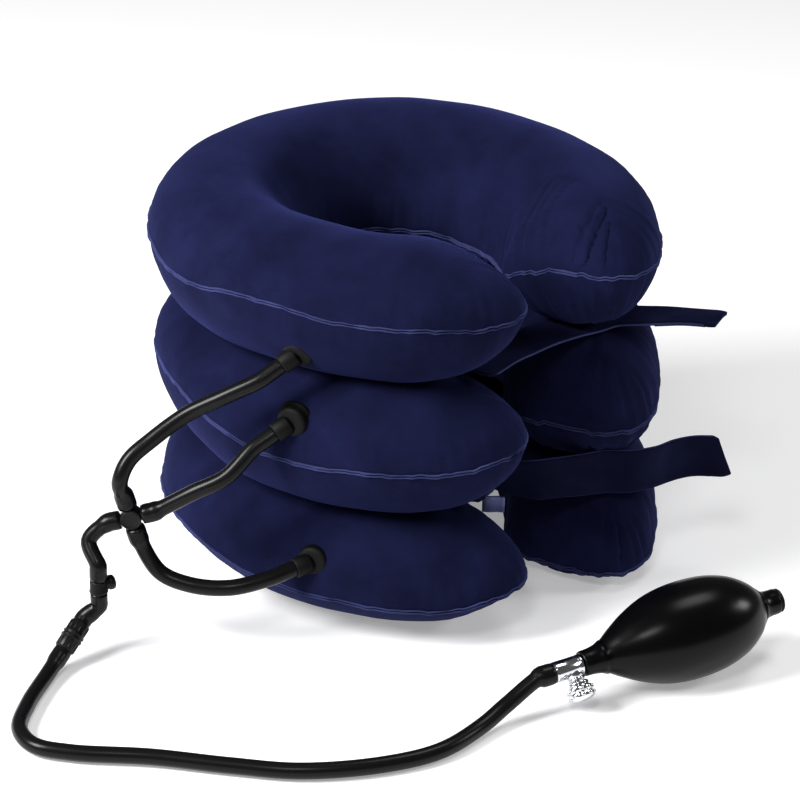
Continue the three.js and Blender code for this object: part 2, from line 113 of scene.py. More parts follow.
def catmull_rom(points, spacing):
    """Centripetal Catmull-Rom line through the points, as the CAD hoses have."""
    points = [Vector(p) for p in points]
    ends = [points[0] * 2 - points[1], *points, points[-1] * 2 - points[-2]]
    line = []
    for i in range(1, len(ends) - 2):
        p0, p1, p2, p3 = ends[i - 1 : i + 3]
        t1 = (p1 - p0).length ** 0.5
        t2 = t1 + (p2 - p1).length ** 0.5
        t3 = t2 + (p3 - p2).length ** 0.5
        steps = max(2, round((p2 - p1).length / spacing))
        for k in range(steps):
            t = t1 + (t2 - t1) * k / steps
            a1 = p0 * ((t1 - t) / t1) + p1 * (t / t1)
            a2 = p1 * ((t2 - t) / (t2 - t1)) + p2 * ((t - t1) / (t2 - t1))
            a3 = p2 * ((t3 - t) / (t3 - t2)) + p3 * ((t - t2) / (t3 - t2))
            b1 = a1 * ((t2 - t) / t2) + a2 * (t / t2)
            b2 = a2 * ((t3 - t) / (t3 - t1)) + a3 * ((t - t1) / (t3 - t1))
            line.append(b1 * ((t2 - t) / (t2 - t1)) + b2 * ((t - t1) / (t2 - t1)))
    line.append(points[-1])
    return line


def tube(name, line, radius_at, material, sides=20):
    """Closed tube along a line. radius_at gives the radius at a distance from the start and the end."""
    lengths = [0.0]
    for a, b in zip(line, line[1:]):
        lengths.append(lengths[-1] + (b - a).length)
    tangent = (line[1] - line[0]).normalized()
    side = tangent.orthogonal().normalized()
    points = []
    for i, centre in enumerate(line):
        ahead = line[min(i + 1, len(line) - 1)] - line[max(i - 1, 0)]
        turn = tangent.rotation_difference(ahead.normalized())
        side = turn @ side
        tangent = ahead.normalized()
        other = tangent.cross(side)
        radius = radius_at(lengths[i], lengths[-1] - lengths[i])
        for k in range(sides):
            a = 2 * math.pi * k / sides
            points.append(centre + (side * math.cos(a) + other * math.sin(a)) * radius)
    faces = grid_faces(len(line), sides, close_columns=True)
    faces.append(tuple(range(sides))[::-1])
    faces.append(tuple(range(len(points) - sides, len(points))))
    return mesh_object(name, points, faces, material)


def turned(name, profile, origin, direction, material, sides=48):
    """Turned piece: (radius, height) points in millimetres, closed on the axis where the radius is 0."""
    direction = Vector(direction).normalized()
    side = direction.orthogonal().normalized()
    other = direction.cross(side)
    points, rings = [], []
    for radius, height in profile:
        centre = Vector(origin) + direction * height * MM
        if radius < 1e-6:
            rings.append([len(points)])
            points.append(centre)
            continue
        rings.append(list(range(len(points), len(points) + sides)))
        for k in range(sides):
            a = 2 * math.pi * k / sides
            points.append(centre + (side * math.cos(a) + other * math.sin(a)) * radius * MM)
    faces = []
    for low, high in zip(rings, rings[1:]):
        for k in range(sides):
            j = (k + 1) % sides
            corners = [low[k % len(low)], low[j % len(low)], high[j % len(high)], high[k % len(high)]]
            corners = list(dict.fromkeys(corners))
            if len(corners) > 2:
                faces.append(tuple(corners))
    if len(rings[0]) > 1 and profile[0] == profile[-1]:
        first, last = rings[0], rings[-1]
        faces = [tuple(first[last.index(c)] if c in last else c for c in face) for face in faces]
        points = points[: last[0]]
    return mesh_object(name, points, faces, material)


def ride(piece, body, slot, *replaced):
    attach(piece, body)
    if replaced:
        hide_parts(*replaced)
    return piece


# ---- materials ---------------------------------------------------------------------------
def new_material(name, colour, roughness, metallic=0.0, **sockets):
    material = bpy.data.materials.new(name)
    material.use_nodes = True
    shader = material.node_tree.nodes["Principled BSDF"]
    shader.inputs["Base Color"].default_value = (*colour, 1)
    shader.inputs["Roughness"].default_value = roughness
    shader.inputs["Metallic"].default_value = metallic
    for key, value in sockets.items():
        shader.inputs[key.replace("_", " ")].default_value = value
    return material


def node(material, kind, x):
    made = material.node_tree.nodes.new(kind)
    made.location = (x, 0)
    return made


def join(material, a, output, b, socket):
    material.node_tree.links.new(a.outputs[output], b.inputs[socket])


def noise(material, scale, detail, rough):
    made = node(material, "ShaderNodeTexNoise", -700)
    made.inputs["Scale"].default_value = scale
    made.inputs["Detail"].default_value = detail
    made.inputs["Roughness"].default_value = rough
    join(material, node(material, "ShaderNodeTexCoord", -900), "Object", made, "Vector")
    return made


def ramp(material, source, output, stops):
    made = node(material, "ShaderNodeValToRGB", -450)
    elements = made.color_ramp.elements
    while len(elements) < len(stops):
        elements.new(0.5)
    for element, (place, colour) in zip(elements, stops):
        element.position = place
        element.color = (*colour, 1)
    join(material, source, output, made, "Fac")
    return made


def bumped(material, heights):
    """Adds bump from (node, output, strength, distance) entries, one after another."""
    shader = material.node_tree.nodes["Principled BSDF"]
    before = None
    for source, output, strength, distance in heights:
        bump = node(material, "ShaderNodeBump", -200)
        bump.inputs["Strength"].default_value = strength
        bump.inputs["Distance"].default_value = distance
        join(material, source, output, bump, "Height")
        if before:
            join(material, before, "Normal", bump, "Normal")
        before = bump
    join(material, before, "Normal", shader, "Normal")


def vary_roughness(material, source, middle, spread):
    """Lets a pattern move a material's roughness up and down round its middle value."""
    shader = material.node_tree.nodes["Principled BSDF"]
    gloss = node(material, "ShaderNodeMapRange", -400)
    gloss.inputs["To Min"].default_value = middle - spread
    gloss.inputs["To Max"].default_value = middle + spread
    join(material, source, "Fac", gloss, "Value")
    join(material, gloss, "Result", shader, "Roughness")


def velour_material(name, dark, mid, light, sheen):
    """Flocked velour: a dark navy pile, cloudy where it has been brushed, paler where seen at a slant."""
    material = new_material(name, mid, 0.92, Sheen_Weight=sheen, Sheen_Roughness=0.42)
    shader = material.node_tree.nodes["Principled BSDF"]
    shader.inputs["Sheen Tint"].default_value = (0.2, 0.25, 1.0, 1)
    shader.inputs["Specular IOR Level"].default_value = 0.03
    brushed = noise(material, 38, 4, 0.6)
    colour = ramp(material, brushed, "Fac", [(0.25, dark), (0.5, mid), (0.78, light)])
    join(material, colour, "Color", shader, "Base Color")
    pile = noise(material, 2600, 2, 0.7)
    clumps = noise(material, 420, 3, 0.6)
    bumped(material, [(clumps, "Fac", 0.25, 0.0006), (pile, "Fac", 0.5, 0.0003)])
    return material


def rubber_material(name, colour, roughness, mottle, grain):
    material = new_material(name, colour, roughness)
    shader = material.node_tree.nodes["Principled BSDF"]
    shader.inputs["Specular IOR Level"].default_value = 0.13
    vary_roughness(material, noise(material, 60, 4, 0.6), roughness, mottle)
    fine = noise(material, 900, 2, 0.5)
    bumped(material, [(fine, "Fac", 0.12, grain)])
    return material


def metal_material(name, colour, roughness, streak):
    material = new_material(name, colour, roughness, 1.0)
    smear = noise(material, 140, 5, 0.65)
    vary_roughness(material, smear, roughness, streak)
    bumped(material, [(smear, "Fac", 0.04, 0.0001)])
    return material


VELOUR = velour_material(
    "velour", (0.0037, 0.0044, 0.0175), (0.0056, 0.0067, 0.027), (0.008, 0.0096, 0.0385), 0.11,
)
# Darker copy of the same velour for the lower panels: painted shade on the cushions' undersides.
VELOUR_PAINTED_SHADE = velour_material(
    "velour_shade", (0.0034, 0.004, 0.016), (0.0051, 0.0061, 0.0245), (0.0073, 0.0087, 0.035), 0.1,
)
WELD = velour_material(
    "weld_edge", (0.018, 0.021, 0.06), (0.028, 0.033, 0.092), (0.042, 0.049, 0.135), 0.3,
)
STRAP = velour_material(
    "strap_cloth", (0.003, 0.0036, 0.013), (0.0046, 0.0056, 0.02), (0.0068, 0.0083, 0.029), 0.1,
)
HOOK = velour_material("hook_tape", (0.005, 0.006, 0.02), (0.008, 0.0098, 0.032), (0.016, 0.019, 0.056), 0.1)
LOOP = velour_material("loop_tape", (0.17, 0.19, 0.48), (0.24, 0.27, 0.62), (0.36, 0.4, 0.76), 0.4)
FILM = rubber_material("bladder_film", (0.12, 0.125, 0.15), 0.35, 0.08, 0.0002)
HOSE = rubber_material("hose_rubber", (0.004, 0.004, 0.0043), 0.27, 0.04, 0.00006)
BULB_RUBBER = rubber_material("bulb_rubber", (0.0015, 0.0015, 0.0018), 0.25, 0.04, 0.00004)
PORT_RUBBER = rubber_material("port_rubber", (0.0015, 0.0015, 0.0015), 0.6, 0.05, 0.0001)
PLASTIC = rubber_material("black_plastic", (0.006, 0.006, 0.0065), 0.34, 0.05, 0.00006)
CHROME = metal_material("chrome", (0.68, 0.69, 0.71), 0.14, 0.04)
STEEL = metal_material("steel", (0.5, 0.51, 0.53), 0.28, 0.08)

# ---- the cushions ------------------------------------------------------------------------
SIDE, BACK, LEFT, RIGHT = 82.5, 82.5, 91.5, 96.0  # half axes of the centreline, in millimetres
FIRST, LAST = math.radians(16), math.radians(350)  # the arms' tips, as turns from -Y by way of -X
HALF_WIDTH, CORNER, ROUNDNESS = 36.5, 24.0, 2.6  # how wide a tier is, and how its arms' ends are rounded
TAPER_LEFT, TAPER_RIGHT = 48.0, 38.0  # over which each arm's end thins out
SKIN = 1.2
# shift: how far a cushion sits from the axis; top, foot: how square its upper and lower halves are;
# seam: the welded edge's height at these turns from the left arm's tip, in degrees
SEAM_TURNS = [16, 24, 32, 40, 60, 78, 90, 98, 108, 120, 150, 180, 260, 300, 330, 350]
TIERS = {
    "bottom": dict(
        body="root", shift=(-1.1, 1.3), floor=0.0, ceiling=61.85, top=2.3, foot=1.2, dip=5,
        seam=[31, 29, 25, 22.5, 24.5, 26, 28, 30, 32, 32, 30, 28, 28, 27, 16, 8],
    ),
    "middle": dict(
        body="middle_tier", shift=(-2.4, 2.8), floor=62.15, ceiling=130.85, top=2.3, foot=1.85, dip=10,
        seam=[104, 102, 98.5, 95.5, 94.5, 95, 98, 101, 107, 110, 106, 102, 101, 104, 93, 85],
    ),
    "top": dict(
        body="top_tier", shift=(-4.0, 4.5), floor=131.15, ceiling=197.0, top=2.1, foot=1.85, dip=24,
        seam=[171, 170, 169, 169, 171, 175, 173, 169.5, 168, 169, 171, 171, 169, 169, 168.5, 168.5],
    ),
}


def centreline(turn):
    depth = np.where(np.cos(turn) > 0, np.where(np.sin(turn) > 0, LEFT, RIGHT), BACK)
    return np.stack([-SIDE * np.sin(turn), -depth * np.cos(turn)], -1)


def outward(turn):
    ahead = centreline(turn + 0.01) - centreline(turn - 0.01)
    ahead /= np.linalg.norm(ahead, axis=-1, keepdims=True)
    return np.stack([-ahead[..., 1], ahead[..., 0]], -1)


def swell(distance, length, power):
    left = np.clip(1 - distance / length, 0, 1)
    return (1 - left**power) ** (1 / power)


def waves(x, table):
    """Sum of (amplitude, wavelength, phase) sines."""
    return sum(a * np.sin(2 * math.pi * x / length + phase) for a, length, phase in table)


def station_turns(count):
    a = np.linspace(0, 1, count)
    eased = 0.12 * a + 0.88 * (1 - np.cos(math.pi * a)) / 2
    return FIRST + (LAST - FIRST) * eased


def tip_distance(turn):
    return np.minimum(turn - FIRST, LAST - turn) * SIDE


def seam_height(tier, turn):
    """The welded edge rises and falls round the ring."""
    fine = np.arange(0, 361, 1.0)
    line = np.interp(fine, SEAM_TURNS, TIERS[tier]["seam"])
    spread = np.exp(-((np.arange(-12, 13) / 6.0) ** 2))
    line = np.convolve(np.pad(line, 12, mode="edge"), spread / spread.sum(), mode="valid")
    rank = list(TIERS).index(tier)
    soft = waves((turn - FIRST) * SIDE, [(0.45, 61.0, 1.9 * rank), (0.25, 23.0, 2.2 + rank)])
    return np.interp(np.degrees(turn), fine, line) + soft


def inner_dip(tier, turn):
    """How much lower the welded edge runs on the ring's inner side than on its outer side."""
    return TIERS[tier]["dip"] * swell(tip_distance(turn), 60.0, 2.0)


def outline(tier, count=900):
    """The welded edge as one closed loop: outer side from the left tip to the right, and back inside."""
    turn = station_turns(count // 2)
    width = HALF_WIDTH * swell(tip_distance(turn), CORNER, ROUNDNESS)
    centre, out = centreline(turn) + np.array(TIERS[tier]["shift"]), outward(turn)
    z = seam_height(tier, turn)
    outer = np.column_stack([centre + out * width[:, None], z])
    inner = np.column_stack([centre - out * width[:, None], z - inner_dip(tier, turn)])[::-1]
    return np.vstack([outer[:-1], inner[:-1]])


def loop_lengths(loop):
    steps = np.linalg.norm(np.roll(loop, -1, 0) - loop, axis=1)
    return np.concatenate([[0], np.cumsum(steps)[:-1]]), steps.sum()


def panel_points(tier, upper, inset, rows=300, columns=64):
    """Rows of points from the outer edge over the panel to the inner edge."""
    facts = TIERS[tier]
    turn = station_turns(rows)
    a = np.linspace(0, math.pi, columns)
    distance = np.clip(tip_distance(turn) - inset, 0, None)
    width = (HALF_WIDTH - inset) * swell(distance, CORNER, ROUNDNESS)
    rise = np.where(turn < math.pi, swell(distance, TAPER_LEFT, 2.0), swell(distance, TAPER_RIGHT, 2.4))
    across = np.cos(a)
    seam = seam_height(tier, turn)[:, None] - inner_dip(tier, turn)[:, None] * (1 - across[None, :]) / 2
    edge = facts["ceiling"] if upper else facts["floor"]
    height = (np.abs(edge - seam) - inset) * rise[:, None]
    way = 1 if upper else -1
    power = facts["top"] if upper else facts["foot"]
    lift = (1 - np.abs(across) ** power) ** (1 / power)
    centre, out = centreline(turn) + np.array(TIERS[tier]["shift"]), outward(turn)
    flat = centre[:, None, :] + out[:, None, :] * (width[:, None] * across[None, :])[..., None]
    z = seam + way * height * lift[None, :]
    points = np.concatenate([flat, z[..., None]], -1)
    upright = np.broadcast_to((way * np.sin(a))[None, :, None], (rows, columns, 1))
    normal = np.concatenate([out[:, None, :] * across[None, :, None], upright], -1)
    return points, normal


def gathers(tier, upper, points):
    """Depth of the creases that run from the welded edge into a panel, deepest at the arms' ends."""
    loop = outline(tier)
    lengths, total = loop_lengths(loop)
    tree = kdtree.KDTree(len(loop))
    for i, p in enumerate(loop):
        tree.insert(p, i)
    tree.balance()
    flat = points.reshape(-1, 3)
    found = [tree.find(p) for p in flat]
    along = np.array([lengths[f[1]] for f in found])
    away = np.array([f[2] for f in found])
    right_tip = lengths[len(loop) // 2]
    from_left = np.minimum(along, total - along)
    from_right = np.abs(along - right_tip)
    inner_side = along > right_tip
    rank = list(TIERS).index(tier) * 2.1 + (0.0 if upper else 1.3)
    coarse = waves(along, [(1.0, 19.0, rank), (0.7, 12.7, 2 * rank), (0.5, 31.0, 0.7 + rank)]) / 2.2
    fine = waves(along, [(1.0, 7.3, 1 + rank), (0.8, 5.1, rank)]) / 1.8
    sharp = -np.abs(coarse) ** 0.8 * 0.9 + 0.25 * fine
    near_right = np.exp(-((from_right / 55.0) ** 2))
    near_left = np.exp(-((from_left / 40.0) ** 2))
    depth = 0.4 + 2.6 * near_right + 0.7 * near_left + 0.35 * inner_side
    reach = 6.0 + 12.0 * near_right + 3.0 * near_left
    envelope = (away / reach) * np.exp(1 - away / reach)
    return (sharp * depth * envelope).reshape(points.shape[:2])


def uneven(points):
    """Slow swelling and slackening of a full cushion."""
    x, y, z = np.moveaxis(points, -1, 0)
    slow = np.sin(x / 17.0 + 0.9 * np.sin(y / 29.0)) * np.sin(y / 21.0 + z / 26.0)
    return 0.5 * slow + 0.25 * np.sin(x / 9.0 + z / 11.0 + 1.0) * np.sin(y / 8.0)


def to_row(points):
    return np.asarray(points) * MM + np.array(AXIS)


def cushion_panel(tier, upper):
    facts = TIERS[tier]
    points, normal = panel_points(tier, upper, 0.0)
    depth = gathers(tier, upper, points)
    distance = tip_distance(station_turns(points.shape[0]))[:, None]
    calm = np.clip(distance / 8.0, 0, 1)
    shift = depth + uneven(points) * calm * 0.8
    edge = np.ones(points.shape[:2])
    edge[:, 0] = edge[:, -1] = edge[0] = edge[-1] = 0
    points = points + normal * (shift * edge)[..., None]
    under_nothing = tier == "top" and upper
    highest = None if under_nothing else facts["ceiling"]
    points[..., 2] = np.clip(points[..., 2], facts["floor"], highest)
    faces = grid_faces(*points.shape[:2])
    if upper:
        faces = [face[::-1] for face in faces]
    # Lower panels take the darker velour copy, painted shade for the undersides.
    half, slot, material = ("upper", "velour", VELOUR) if upper else ("lower", "velour_shade", VELOUR_PAINTED_SHADE)
    piece = mesh_object(f"{tier}_cushion_{half}_velour", to_row(points.reshape(-1, 3)), faces, material)
    clean(piece)
    ride(piece, facts["body"], slot, f"{tier}_tier_{half}_panel")
    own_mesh(piece)
    modifier(piece, "SOLIDIFY", thickness=SKIN * MM, offset=-1)


def clean(piece):
    """Merges the doubled points where a panel runs out to its tips."""
    work = bmesh.new()
    work.from_mesh(piece.data)
    bmesh.ops.remove_doubles(work, verts=work.verts, dist=0.02 * MM)
    work.to_mesh(piece.data)
    work.free()


def weld_edge(tier):
    """Thin welded flange all round the cushion, ruffled where the velour is gathered."""
    facts = TIERS[tier]
    loop = outline(tier, 1200)
    lengths, total = loop_lengths(loop)
    ahead = np.roll(loop, -1, 0) - np.roll(loop, 1, 0)
    ahead[:, 2] = 0
    ahead /= np.linalg.norm(ahead, axis=1, keepdims=True)
    out = np.column_stack([-ahead[:, 1], ahead[:, 0], np.zeros(len(loop))])
    if out[100] @ loop[100] < 0:
        out = -out
    tip = lengths[len(loop) // 2]
    from_right = np.abs(lengths - tip)
    near_right = np.exp(-((from_right / 45.0) ** 2))
    near_left = np.exp(-((np.minimum(lengths, total - lengths) / 70.0) ** 2))
    rank = list(TIERS).index(tier)
    ruffle = waves(lengths, [(0.3, 17.0, rank), (0.22, 9.5, 2 * rank), (0.15, 5.7, 1.0)])
    ruffle *= 0.5 + 1.6 * near_right + 1.3 * near_left
    reach = 1.7 + 0.25 * waves(lengths, [(1.0, 27.0, 0.3 + rank), (0.7, 11.0, rank)])
    section = [(-1.4, 1.0), (0.2, 1.25), (0.75, 1.2), (1.0, 0.85), (0.98, 0.5), (0.55, 0.2), (0.5, 0.0)]
    section += [(share, -lift) for share, lift in section[-2::-1]]
    points = []
    for share, lift in section:
        spot = loop + out * (reach * share if share > 0 else np.full(len(loop), share))[:, None]
        bend = np.clip(share, 0, 1)
        points.append(spot + np.array([0, 0, 1.0]) * (lift * 0.9 + ruffle * bend)[:, None])
    points = np.stack(points, 1)
    points[..., 2] = np.clip(points[..., 2], facts["floor"] + 0.2, None)
    rows, columns = points.shape[:2]
    faces = grid_faces(rows, columns, close_rows=True, close_columns=True)
    piece = mesh_object(f"{tier}_cushion_weld_edge", to_row(points.reshape(-1, 3)), faces, WELD)
    ride(piece, facts["body"], "velour")
    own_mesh(piece)


def bladder(tier):
    """Air chamber of grey film inside the velour."""
    facts = TIERS[tier]
    halves = [panel_points(tier, upper, 3.4, rows=70, columns=16)[0] for upper in (True, False)]
    ring = np.concatenate([halves[0], halves[1][:, -2:0:-1]], 1)[1:-1]
    rows, columns = ring.shape[:2]
    faces = grid_faces(rows, columns, close_columns=True)
    faces.append(tuple(range(columns))[::-1])
    faces.append(tuple(range((rows - 1) * columns, rows * columns)))
    piece = mesh_object(f"{tier}_air_bladder_film", to_row(ring.reshape(-1, 3)), faces, FILM)
    ride(piece, facts["body"], "bladder_film", f"{tier}_tier_air_bladder")
    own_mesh(piece)


for tier_name in TIERS:
    cushion_panel(tier_name, True)
    cushion_panel(tier_name, False)
    weld_edge(tier_name)
    bladder(tier_name)


# ---- ports, fittings and hoses -----------------------------------------------------------
HOSE_RADIUS = 3.85
UP, DOWN = Vector((0, 0, 1)), Vector((0, 0, -1))


def smooth_step(x):
    x = min(1.0, max(0.0, x))
    return x * x * (3 - 2 * x)


def port_frame(turn, height, reach, tilt, fall):
    """Where a port's boss stands on the collar, the way it faces, and the way its spigot leads."""
    turn, tilt = math.radians(turn), math.radians(tilt)
    flat = Vector((-math.sin(turn), -math.cos(turn), 0))
    axis = flat * math.cos(tilt) + UP * math.sin(tilt)
    lead = Vector((flat.y, -flat.x, 0)) * 0.7 - UP * fall + axis * 0.8
    return at(flat.x * reach, flat.y * reach, height), axis, lead.normalized()


PORTS = {
    "top": port_frame(74.5, 149, 112, -30, 0.2),
    "middle": port_frame(75.2, 114, 115.5, 0, 0.6),
    "bottom": port_frame(70, 41.5, 115, 8, 0.3),
}
BOSS_RADIUS, SPIGOT_HEIGHT, SPIGOT_LENGTH = 7.0, 2.0, 9.0
CROSS, CROSS_REACH = at(-172, 19, 68), 8.0
CROSS_FACE = Vector((-0.75, -0.66, 0)).normalized()
CROSS_ROLL = Matrix.Rotation(math.radians(16), 3, CROSS_FACE)
CROSS_RIGHT, CROSS_UP = CROSS_ROLL @ Vector((0.66, -0.75, 0)).normalized(), CROSS_ROLL @ UP
CROSS_WAYS = {"top": CROSS_UP, "right": CROSS_RIGHT, "bottom": -CROSS_UP, "left": -CROSS_RIGHT}
TEE, TEE_REACH, STUB_WAY = at(-189, 24.5, 36), 8.0, Vector((0.9, -0.42, 0.1)).normalized()
COUPLING, COUPLING_HALF = at(-204, 27.5, 13.5), 8.0
COUPLING_WAY = Vector((-0.84, -0.1, -0.53)).normalized()
BULB, BULB_AXIS = at(-18, -190, 23.5), Vector((0.93, -0.365, 0.07)).normalized()
VALVE_FRONT, BARB_END = -69.3, -73.3


def spigot_line(place, way, reach, cover, past):
    """Points along a spigot, from where the hose that covers it ends to a little past its tip."""
    return [place + way * s * MM for s in (cover, reach + 0.3, reach + 0.3 + past)]


def port_line(tier):
    place, axis, lead = PORTS[tier]
    return spigot_line(place + axis * SPIGOT_HEIGHT * MM, lead, BOSS_RADIUS + SPIGOT_LENGTH, 9.4, 6)


def cross_line(way):
    return spigot_line(CROSS, CROSS_WAYS[way], CROSS_REACH, 5.6, 3)[::-1]


ROUTES = {
    "branch_hose_top": [
        *port_line("top"), at(-137, -9, 128), at(-148, 5, 118), at(-162, 14, 107), at(-173, 19, 98),
        at(-178, 20, 88), *cross_line("top"),
    ],
    "branch_hose_middle": [*port_line("middle"), at(-144, -16, 91), at(-154, -5, 83), *cross_line("right")],
    "branch_hose_bottom": [
        *port_line("bottom"), at(-147, -21, 35), at(-158, -5, 35), at(-165, 8, 40), *cross_line("bottom"),
    ],
    "drop_hose": [
        *cross_line("left")[::-1], at(-186.5, 33, 56), *spigot_line(TEE, UP, TEE_REACH, 3.3, 2.5)[::-1],
    ],
    "lower_hose": [
        *spigot_line(TEE, DOWN, TEE_REACH, 3.6, 2.5),
        *spigot_line(COUPLING, -COUPLING_WAY, COUPLING_HALF, 8.1, 2.5)[::-1],
    ],
    "long_hose": [
        *spigot_line(COUPLING, COUPLING_WAY, COUPLING_HALF, 8.1, 2.5), at(-226, 21.5, 5), at(-250, 9, 4.7),
        at(-267, -4, 4.7), at(-272, -19, 4.7), at(-265, -35, 4.7), at(-243, -64, 4.7), at(-224, -95, 4.7),
        at(-206, -121, 4.7), at(-178, -144, 4.7), at(-151, -156, 4.7), at(-123, -157, 5.5),
        at(-106, -157.5, 9.5),
        *spigot_line(BULB, -BULB_AXIS, -BARB_END, -VALVE_FRONT - 0.6, 3)[::-1],
    ],
}
HOSE_BODIES = {
    "branch_hose_top": ("hose_cross", 68), "branch_hose_middle": ("hose_cross", 68),
    "branch_hose_bottom": ("bottom_port", 41.5), "drop_hose": ("hose_tee", 36), "lower_hose": ("root", 0),
    "long_hose": ("root", None),
}
# how much each hose swells over the barbs at its two ends, in millimetres
HOSE_SWELLS = {
    "branch_hose_top": (0.1, 0.9), "branch_hose_middle": (0.1, 0.9), "branch_hose_bottom": (0.1, 0.9),
    "drop_hose": (0.7, 0.35), "lower_hose": (0.25, 0.6), "long_hose": (0.6, 1.3),
}


def hose_radius(start_swell, end_swell):
    """Hose radius along its length: it swells over the barbs at both ends, with a soft outer lip."""

    def radius(start, end):
        grown = 0.0
        for distance, most in ((start, start_swell), (end, end_swell)):
            over = smooth_step(1 - (distance / MM - 6.5) / 4.0)
            lip = smooth_step(distance / MM / 0.7)
            grown = max(grown, most * over * (0.72 + 0.28 * lip))
        return (HOSE_RADIUS + grown) * MM

    return radius


def make_hose(name):
    points = ROUTES[name]
    lean = catmull_rom(points, 1.6 * MM)
    piece = tube(name + "_rubber", lean, hose_radius(*HOSE_SWELLS[name]), HOSE, sides=28)
    body, height = HOSE_BODIES[name]
    ride(piece, body, "hose_rubber", name)
    if height is not None:
        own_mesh(piece)
    return piece, lean


def make_port(tier):
    """Rubber boss on the collar's side: a wide foot in the velour, a rim and a sunken face, and an elbow."""
    place, axis, lead = PORTS[tier]
    slope = [
        (0, -9), (5.8, -9), (6.9, -8), (7, -2.6), (8.6, -1.4), (9.0, -0.6), (8.6, 0.2), (7.9, 0.9), (7.7, 2.2),
        (7.5, 3.6), (7.1, 4.4), (6.4, 4.9), (5.2, 5.2), (3, 5.4), (0, 5.5),
    ]
    boss = turned(f"{tier}_port_boss", slope, place, axis, PORT_RUBBER, sides=64)
    ride(boss, f"{tier}_port", "hose_rubber", f"{tier}_tier_port")
    foot = place + axis * SPIGOT_HEIGHT * MM
    neck = [
        (0, 2), (4.6, 2), (4.9, 3), (4.9, 9.6), (4.6, 10.2), (2.7, 10.2), (2.6, 16), (1.5, 16), (1.5, 5), (0, 5),
    ]
    elbow = turned(f"{tier}_port_elbow", neck, foot, lead, PORT_RUBBER, sides=40)
    ride(elbow, f"{tier}_port", "hose_rubber")


def joined(name, pieces):
    """One object from several, each keeping its own shape."""
    for piece in pieces:
        piece.select_set(False)
    with bpy.context.temp_override(active_object=pieces[0], selected_editable_objects=pieces, object=pieces[0]):
        bpy.ops.object.join()
    pieces[0].name = name
    return pieces[0]


def barbed_spigot(name, place, way, reach, material):
    profile = [(0, 0), (2.2, 0)]
    for low in (reach - 6.4, reach - 6.4 + 3.2):
        profile += [(2.2, low), (3.0, low + 0.1), (2.3, low + 2.8)]
    profile += [(2.1, reach), (1.5, reach), (1.5, reach - 3), (0, reach - 3)]
    return turned(name, profile, place, way, material, 32)


def cross_fitting():
    hub = turned("cross_hub", [
        (0, -4), (4.4, -4), (4.9, -3.6), (5, -3), (5, 3), (4.9, 3.7), (4.5, 4), (4.1, 3.95), (3.8, 3.6),
        (3.5, 3.5), (0, 3.6),
    ], CROSS, CROSS_FACE, PLASTIC, 64)
    arms = [barbed_spigot("arm", CROSS, way, CROSS_REACH, PLASTIC) for way in CROSS_WAYS.values()]
    return ride(joined("cross_fitting", [hub, *arms]), "hose_cross", "black_plastic", "cross_connector")


def tee_fitting():
    sleeve = turned("sleeve", [
        (0, -3.4), (4.0, -3.4), (4.5, -3.0), (4.5, -2.4), (4.2, -2.0), (4.2, 2.6), (3.9, 3.1), (0, 3.1),
    ], TEE, UP, PLASTIC, 48)
    stub = turned("stub", [
        (0, 0), (3.0, 0), (3.0, 4.6), (3.5, 5.0), (3.6, 6.4), (3.3, 7.4), (2.4, 8.0), (0, 8.2),
    ], TEE, STUB_WAY, PLASTIC, 48)
    arms = [barbed_spigot("arm", TEE, way, TEE_REACH, PLASTIC) for way in (UP, DOWN)]
    return ride(joined("tee_fitting", [sleeve, stub, *arms]), "hose_tee", "black_plastic", "stubbed_tee")


def straight_fitting():
    """Coupling with two rings round its middle and lengthwise ribs on both sides of them."""
    half_grip = [(5.0, 0.5), (5.4, 0.8), (5.4, 1.4), (4.9, 1.7), (4.7, 7.0), (4.3, 7.9), (0, 7.9)]
    whole_grip = [(r, -z) for r, z in half_grip[::-1]] + half_grip
    grip = turned("grip", whole_grip, COUPLING, COUPLING_WAY, PLASTIC, 48)
    side = COUPLING_WAY.orthogonal().normalized()
    ribs = []
    for k in range(12):
        turn = Matrix.Rotation(2 * math.pi * k / 12, 3, COUPLING_WAY)
        foot = COUPLING + (turn @ side) * 4.65 * MM
        for way in (COUPLING_WAY, -COUPLING_WAY):
            ribs.append(turned("rib", [(0, 2), (0.45, 2.2), (0.45, 6.9), (0, 7.3)], foot, way, PLASTIC, 8))
    both = (COUPLING_WAY, -COUPLING_WAY)
    arms = [barbed_spigot("arm", COUPLING, way, COUPLING_HALF + 5, PLASTIC) for way in both]
    return ride(joined("straight_fitting", [grip, *ribs, *arms]), "root", "black_plastic", "straight_coupling")


for tier_name in PORTS:
    make_port(tier_name)
CROSS_PIECE, TEE_PIECE, COUPLING_PIECE = cross_fitting(), tee_fitting(), straight_fitting()
HOSES = {name: make_hose(name) for name in ROUTES}

# ---- hand bulb and valves ----------------------------------------------------------------
PEAR = [
    (-46, 6.2), (-42, 7.8), (-35, 12), (-26, 16.8), (-15, 21), (-4, 23), (8, 23.3), (19, 22), (29, 18.8),
    (37, 13.8), (42, 8.6), (44, 6.2),
]


